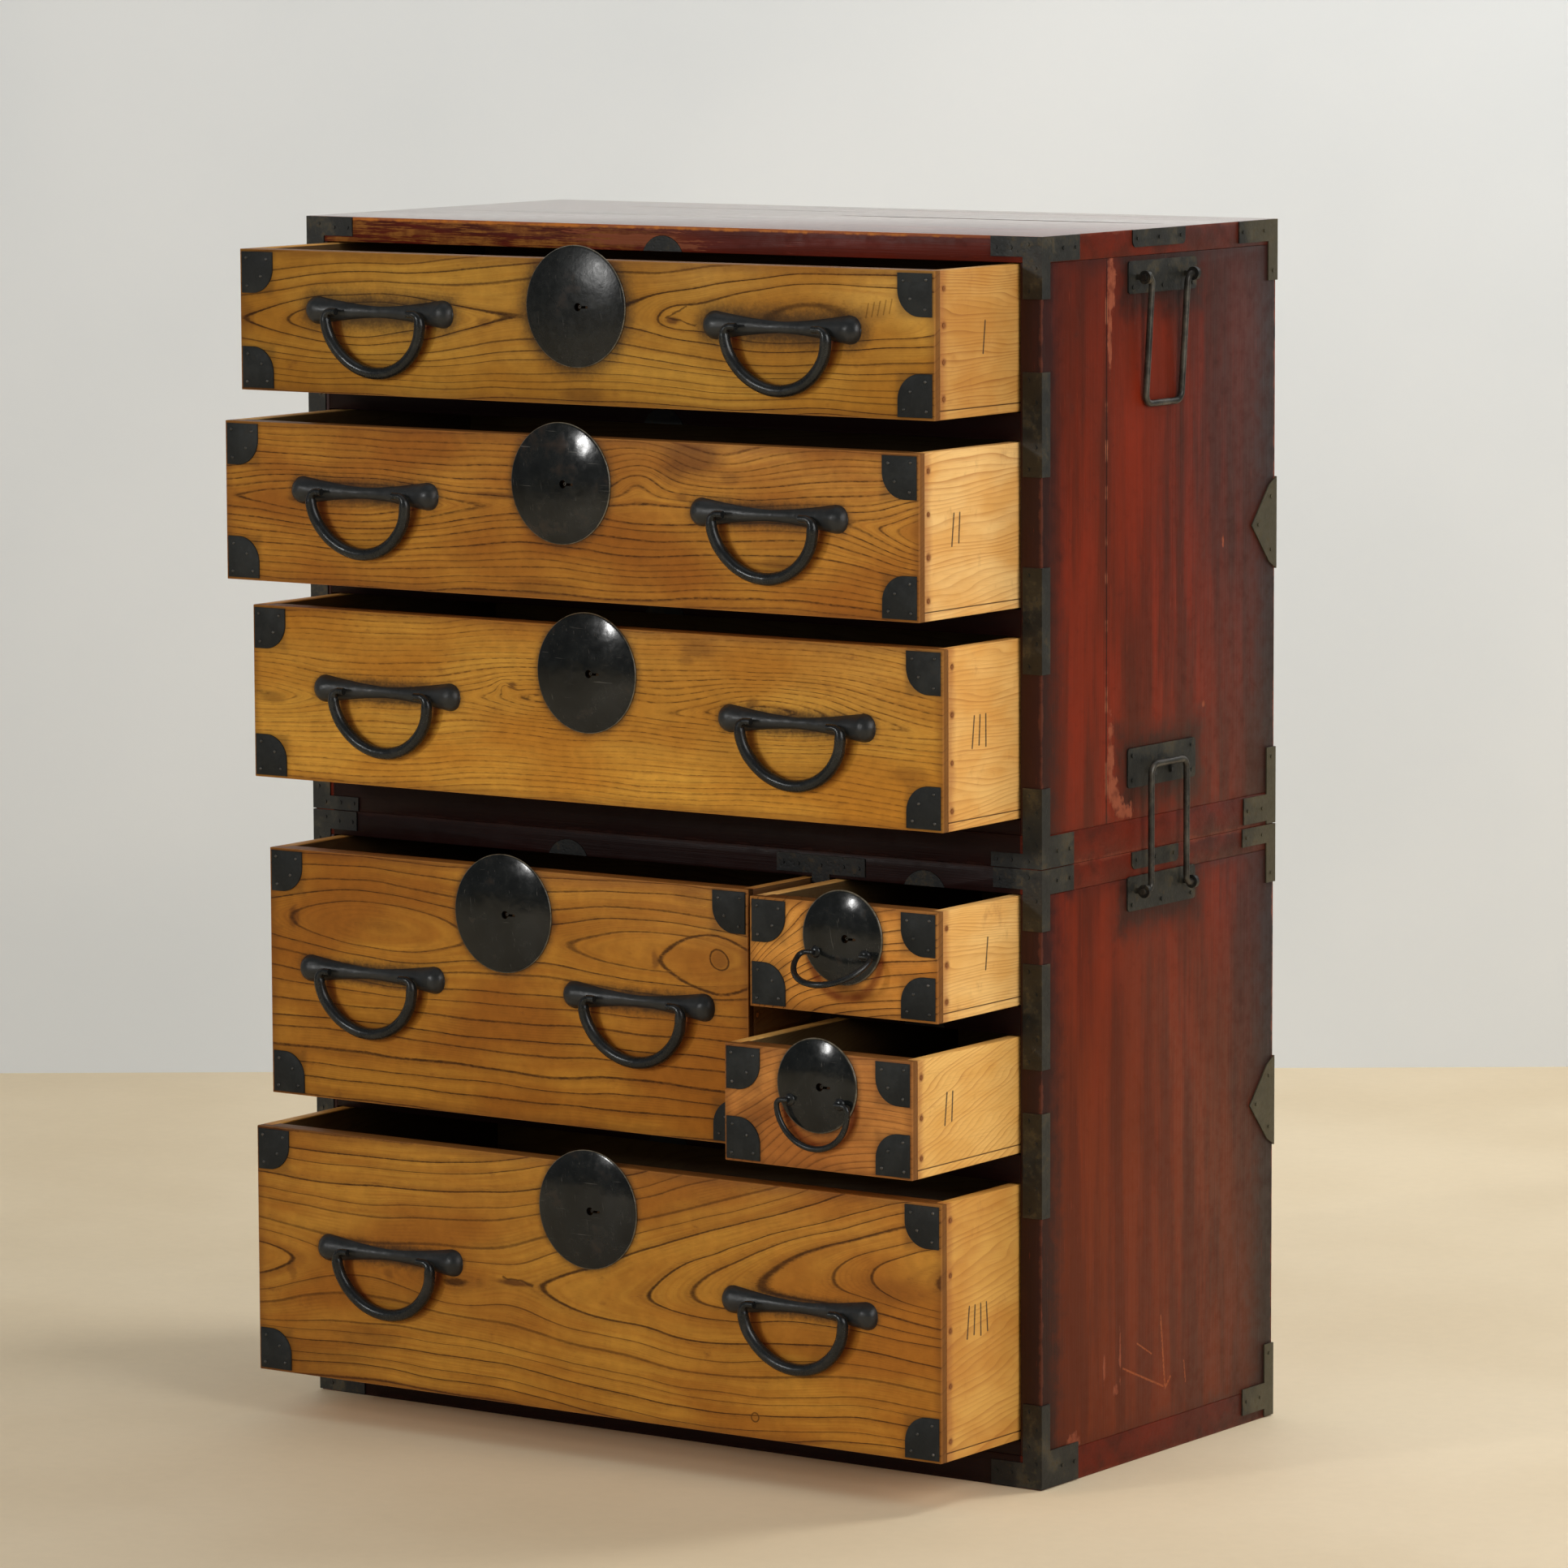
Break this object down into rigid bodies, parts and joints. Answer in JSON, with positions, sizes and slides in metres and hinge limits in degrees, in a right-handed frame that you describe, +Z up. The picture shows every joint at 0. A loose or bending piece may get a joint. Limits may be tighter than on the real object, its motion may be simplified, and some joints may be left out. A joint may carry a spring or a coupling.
{
  "type": "stacking chest of drawers",
  "caption": "Two-case stacking chest of drawers with iron fittings: full-width and small drawers, domed lock plates, bone-shaped handle bars with bails, and carrying bails on the sides.",
  "frame": {"origin": "centre of the lower case's base on the floor", "axes": "+Z up, +X to the right as seen from the front, the drawer fronts face -Y"},
  "size_m": [0.7598, 0.5216, 1],
  "materials": {
    "red_lacquer": "satin",
    "front_gold": "satin",
    "front_brown": "satin",
    "pale_softwood": "matte",
    "raw_back": "matte",
    "black_iron": "satin",
    "old_iron": "matte",
    "bolt_brass": "satin"
  },
  "bodies": {
    "lower_case": {"lower_side_left": "red_lacquer", "lower_side_right": "red_lacquer", "lower_top": "red_lacquer", "lower_base": "red_lacquer", "lower_back": "raw_back", "lower_rails": "red_lacquer", "lower_irons": "black_iron", "lower_handle_plates": "old_iron"},
    "upper_case": {"upper_side_left": "red_lacquer", "upper_side_right": "red_lacquer", "upper_top": "red_lacquer", "upper_base": "red_lacquer", "upper_back": "raw_back", "upper_rails": "red_lacquer", "upper_irons": "black_iron", "upper_handle_plates": "old_iron"},
    "drawer1": {"drawer1_front": "front_gold", "drawer1_box": "pale_softwood", "drawer1_fittings": "black_iron"},
    "drawer1_lock_bolt": {"drawer1_bolt": "bolt_brass"},
    "drawer1_left_bail": {"drawer1_bail_left": "black_iron"},
    "drawer1_right_bail": {"drawer1_bail_right": "black_iron"},
    "drawer2": {"drawer2_front": "front_gold", "drawer2_box": "pale_softwood", "drawer2_fittings": "black_iron"},
    "drawer2_lock_bolt": {"drawer2_bolt": "bolt_brass"},
    "drawer2_left_bail": {"drawer2_bail_left": "black_iron"},
    "drawer2_right_bail": {"drawer2_bail_right": "black_iron"},
    "drawer3": {"drawer3_front": "front_gold", "drawer3_box": "pale_softwood", "drawer3_fittings": "black_iron"},
    "drawer3_lock_bolt": {"drawer3_bolt": "bolt_brass"},
    "drawer3_left_bail": {"drawer3_bail_left": "black_iron"},
    "drawer3_right_bail": {"drawer3_bail_right": "black_iron"},
    "drawer4": {"drawer4_front": "front_brown", "drawer4_box": "pale_softwood", "drawer4_fittings": "black_iron"},
    "drawer4_lock_bolt": {"drawer4_bolt": "bolt_brass"},
    "drawer4_left_bail": {"drawer4_bail_left": "black_iron"},
    "drawer4_right_bail": {"drawer4_bail_right": "black_iron"},
    "drawer5": {"drawer5_front": "front_brown", "drawer5_box": "pale_softwood", "drawer5_fittings": "black_iron"},
    "drawer5_lock_bolt": {"drawer5_bolt": "bolt_brass"},
    "drawer5_ring_bail": {"drawer5_ring": "black_iron"},
    "drawer6": {"drawer6_front": "front_brown", "drawer6_box": "pale_softwood", "drawer6_fittings": "black_iron"},
    "drawer6_lock_bolt": {"drawer6_bolt": "bolt_brass"},
    "drawer6_ring_bail": {"drawer6_ring": "black_iron"},
    "drawer7": {"drawer7_front": "front_brown", "drawer7_box": "pale_softwood", "drawer7_fittings": "black_iron"},
    "drawer7_lock_bolt": {"drawer7_bolt": "bolt_brass"},
    "drawer7_left_bail": {"drawer7_bail_left": "black_iron"},
    "drawer7_right_bail": {"drawer7_bail_right": "black_iron"},
    "upper_right_carry_bail": {"upper_bail_right": "old_iron"},
    "lower_right_carry_bail": {"lower_bail_right": "old_iron"},
    "upper_left_carry_bail": {"upper_bail_left": "old_iron"},
    "lower_left_carry_bail": {"lower_bail_left": "old_iron"}
  },
  "joints": [
    {"name": "upper_case_lift", "type": "slide", "parent": "lower_case", "child": "upper_case", "axis": [0, 0, 1], "range_m": [0, 0.15]},
    {"name": "drawer1_slide", "type": "slide", "parent": "upper_case", "child": "drawer1", "axis": [0, -1, 0], "range_m": [-0.118, 0.112]},
    {"name": "drawer1_bolt_throw", "type": "slide", "parent": "drawer1", "child": "drawer1_lock_bolt", "axis": [0, 0, 1], "range_m": [0, 0.008]},
    {"name": "drawer1_bail_left_swing", "type": "hinge", "parent": "drawer1", "child": "drawer1_left_bail", "pos_m": [-0.198, -0.3077, 0.93], "axis": [-1, 0, 0], "range_deg": [0, 150]},
    {"name": "drawer1_bail_right_swing", "type": "hinge", "parent": "drawer1", "child": "drawer1_right_bail", "pos_m": [0.2, -0.3077, 0.93], "axis": [-1, 0, 0], "range_deg": [0, 150]},
    {"name": "drawer2_slide", "type": "slide", "parent": "upper_case", "child": "drawer2", "axis": [0, -1, 0], "range_m": [-0.14, 0.09]},
    {"name": "drawer2_bolt_throw", "type": "slide", "parent": "drawer2", "child": "drawer2_lock_bolt", "axis": [0, 0, 1], "range_m": [0, 0.008]},
    {"name": "drawer2_bail_left_swing", "type": "hinge", "parent": "drawer2", "child": "drawer2_left_bail", "pos_m": [-0.198, -0.3297, 0.784], "axis": [-1, 0, 0], "range_deg": [0, 150]},
    {"name": "drawer2_bail_right_swing", "type": "hinge", "parent": "drawer2", "child": "drawer2_right_bail", "pos_m": [0.202, -0.3297, 0.784], "axis": [-1, 0, 0], "range_deg": [0, 150]},
    {"name": "drawer3_slide", "type": "slide", "parent": "upper_case", "child": "drawer3", "axis": [0, -1, 0], "range_m": [-0.107, 0.123]},
    {"name": "drawer3_bolt_throw", "type": "slide", "parent": "drawer3", "child": "drawer3_lock_bolt", "axis": [0, 0, 1], "range_m": [0, 0.008]},
    {"name": "drawer3_bail_left_swing", "type": "hinge", "parent": "drawer3", "child": "drawer3_left_bail", "pos_m": [-0.203, -0.2967, 0.6175], "axis": [-1, 0, 0], "range_deg": [0, 150]},
    {"name": "drawer3_bail_right_swing", "type": "hinge", "parent": "drawer3", "child": "drawer3_right_bail", "pos_m": [0.205, -0.2967, 0.6175], "axis": [-1, 0, 0], "range_deg": [0, 150]},
    {"name": "drawer4_slide", "type": "slide", "parent": "lower_case", "child": "drawer4", "axis": [0, -1, 0], "range_m": [-0.0885, 0.1415]},
    {"name": "drawer4_bolt_throw", "type": "slide", "parent": "drawer4", "child": "drawer4_lock_bolt", "axis": [0, 0, 1], "range_m": [0, 0.008]},
    {"name": "drawer4_bail_left_swing", "type": "hinge", "parent": "drawer4", "child": "drawer4_left_bail", "pos_m": [-0.23575, -0.2782, 0.3795], "axis": [-1, 0, 0], "range_deg": [0, 150]},
    {"name": "drawer4_bail_right_swing", "type": "hinge", "parent": "drawer4", "child": "drawer4_right_bail", "pos_m": [0.03625, -0.2782, 0.3795], "axis": [-1, 0, 0], "range_deg": [0, 150]},
    {"name": "drawer5_slide", "type": "slide", "parent": "lower_case", "child": "drawer5", "axis": [0, -1, 0], "range_m": [-0.115, 0.115]},
    {"name": "drawer5_bolt_throw", "type": "slide", "parent": "drawer5", "child": "drawer5_lock_bolt", "axis": [0, 0, 1], "range_m": [0, 0.008]},
    {"name": "drawer5_ring_swing", "type": "hinge", "parent": "drawer5", "child": "drawer5_ring_bail", "pos_m": [0.25375, -0.302, 0.439], "axis": [-1, 0, 0], "range_deg": [-64, 62]},
    {"name": "drawer6_slide", "type": "slide", "parent": "lower_case", "child": "drawer6", "axis": [0, -1, 0], "range_m": [-0.151, 0.079]},
    {"name": "drawer6_bolt_throw", "type": "slide", "parent": "drawer6", "child": "drawer6_lock_bolt", "axis": [0, 0, 1], "range_m": [0, 0.008]},
    {"name": "drawer6_ring_swing", "type": "hinge", "parent": "drawer6", "child": "drawer6_ring_bail", "pos_m": [0.25375, -0.338, 0.326], "axis": [-1, 0, 0], "range_deg": [0, 126]},
    {"name": "drawer7_slide", "type": "slide", "parent": "lower_case", "child": "drawer7", "axis": [0, -1, 0], "range_m": [-0.1105, 0.1195]},
    {"name": "drawer7_bolt_throw", "type": "slide", "parent": "drawer7", "child": "drawer7_lock_bolt", "axis": [0, 0, 1], "range_m": [0, 0.008]},
    {"name": "drawer7_bail_left_swing", "type": "hinge", "parent": "drawer7", "child": "drawer7_left_bail", "pos_m": [-0.203, -0.3002, 0.15], "axis": [-1, 0, 0], "range_deg": [0, 150]},
    {"name": "drawer7_bail_right_swing", "type": "hinge", "parent": "drawer7", "child": "drawer7_right_bail", "pos_m": [0.208, -0.3002, 0.15], "axis": [-1, 0, 0], "range_deg": [0, 150]},
    {"name": "upper_bail_right_swing", "type": "hinge", "parent": "upper_case", "child": "upper_right_carry_bail", "pos_m": [0.3745, -0.002, 0.962], "axis": [0, -1, 0], "range_deg": [0, 170]},
    {"name": "lower_bail_right_swing", "type": "hinge", "parent": "lower_case", "child": "lower_right_carry_bail", "pos_m": [0.3745, -0.002, 0.468], "axis": [0, 1, 0], "range_deg": [0, 180]},
    {"name": "upper_bail_left_swing", "type": "hinge", "parent": "upper_case", "child": "upper_left_carry_bail", "pos_m": [-0.3745, -0.002, 0.962], "axis": [0, 1, 0], "range_deg": [0, 170]},
    {"name": "lower_bail_left_swing", "type": "hinge", "parent": "lower_case", "child": "lower_left_carry_bail", "pos_m": [-0.3745, -0.002, 0.468], "axis": [0, -1, 0], "range_deg": [0, 180]}
  ]
}
